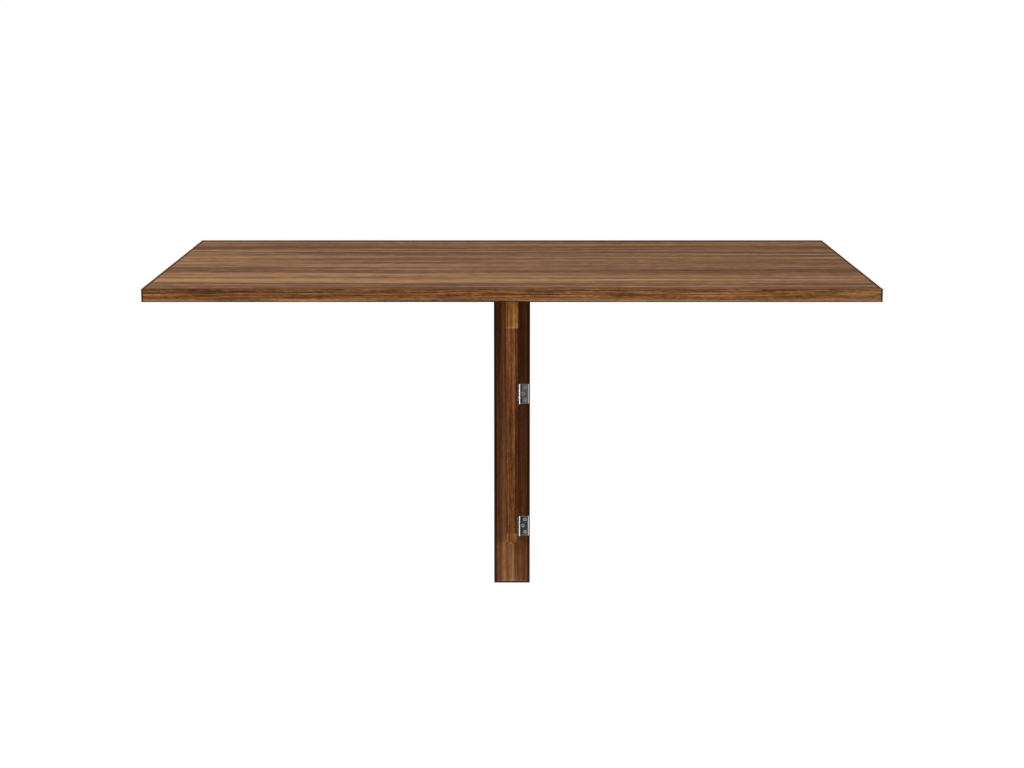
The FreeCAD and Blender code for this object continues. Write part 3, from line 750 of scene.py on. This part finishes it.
def dress_hinges():
    """The plates and pins of the butt hinges."""
    for name, flat in SWING_FLATS.items():
        tones = {**SWING_TONES, "flat": flat}
        for board in ("wall", "bracket"):
            plate = f"{name}_hinge_{board}_plate"
            dress(hinge_steel(plate, joints["bracket_swing"], SWING_SIZE, tones, shaded_axis=X), plate)
    for side in ("left", "right"):
        for board in ("shelf", "leaf"):
            plate = f"{side}_leaf_hinge_{board}_plate"
            dress(hinge_steel(plate, joints["leaf_lift"], LEAF_SIZE, LEAF_TONES), plate)
    pins = [name for name in parts if name.endswith("_hinge_pin")]
    dress(stained_metal("pin_steel", PIN_TONE, STAIN_SHARES, PIN_ROUGHNESS).material, *pins)


def dress_fasteners():
    """Screws, cams and dowels."""
    wall_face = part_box("wall_plate_screws")[0].y
    dress(screw_steel("wall_screw_steel", Y, wall_face, 1, SWING_SCREW_TONE), "wall_plate_screws")
    bracket_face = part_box("bracket_plate_screws")[1].x
    dress(screw_steel("bracket_screw_steel", X, bracket_face, -1, SWING_SCREW_TONE), "bracket_plate_screws")
    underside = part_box("leaf_plate_screws")[0].z
    leaf_steel = screw_steel("leaf_screw_steel", Z, underside, 1, LEAF_SCREW_TONE)
    dress(leaf_steel, "leaf_plate_screws", "shelf_plate_screws")
    zinc = stained_metal("cast_zinc", ZINC_TONE, STAIN_SHARES, ZINC_ROUGHNESS)
    dress(zinc.material, "cam_bolts", "cam_housings")
    dress(beech("dowel_beech", GRAIN_Z), "shelf_dowels", "wall_board_dowels")


# Stage, light and camera


def make_floor():
    """A pale floor below the table, white to the camera, that keeps a soft shadow."""
    bpy.ops.mesh.primitive_plane_add(size=2 * FLOOR_HALF, location=(0, 0, FLOOR_LEVEL))
    floor = bpy.context.object
    floor.name = "floor"
    graph = MaterialGraph("floor_white")
    glow = graph.add("ShaderNodeEmission", inputs={"Color": WHITE, "Strength": FLOOR_GLOW}).outputs[0]
    pale = graph.add("ShaderNodeBsdfDiffuse", inputs={"Color": FLOOR_PALE}).outputs[0]
    dull = graph.add("ShaderNodeBsdfDiffuse", inputs={"Color": FLOOR_DULL}).outputs[0]
    shown = graph.add("ShaderNodeMixShader", inputs={0: SOFT_SHADOW_SHARE, 1: glow, 2: pale}).outputs[0]
    both = graph.add("ShaderNodeMixShader", inputs={0: graph.seen_directly(), 1: dull, 2: shown}).outputs[0]
    graph.feed(graph.tree.nodes["Material Output"].inputs["Surface"], both)
    floor.data.materials.append(graph.material)


def make_world():
    """An even white background that lights the table softly."""
    world = bpy.data.worlds.new("studio")
    world.use_nodes = True
    graph = Graph(world.node_tree)
    background = graph.tree.nodes["Background"]
    graph.feed(background.inputs["Color"], WHITE)
    strength = graph.span(graph.seen_directly(), 0.0, 1.0, AMBIENT, 1.0)
    graph.feed(background.inputs["Strength"], strength)
    bpy.context.scene.world = world


def make_lamp(name, place, size, power):
    """A soft rectangular lamp that points at the table."""
    lamp = bpy.data.lights.new(name, "AREA")
    lamp.shape = "RECTANGLE"
    lamp.size, lamp.size_y = size
    lamp.energy = power
    holder = bpy.data.objects.new(name, lamp)
    holder.location = place
    holder.rotation_euler = (Vector(LAMP_TARGET) - Vector(place)).to_track_quat("-Z", "Y").to_euler()
    bpy.context.scene.collection.objects.link(holder)


def make_camera():
    """The photograph's view."""
    camera = bpy.data.cameras.new("camera")
    camera.lens = CAMERA_LENS
    holder = bpy.data.objects.new("camera", camera)
    holder.location = CAMERA_PLACE
    holder.rotation_euler = (math.pi / 2 - CAMERA_PITCH, 0, 0)
    bpy.context.scene.collection.objects.link(holder)
    bpy.context.scene.camera = holder


dress_top()
dress_boards()
dress_front_band()
dress_bracket_bands()
dress_other_bands()
dress_hinges()
dress_fasteners()
make_floor()
make_world()
for lamp_row in LAMPS:
    make_lamp(*lamp_row)
make_camera()
bpy.context.scene.view_settings.view_transform = "Standard"
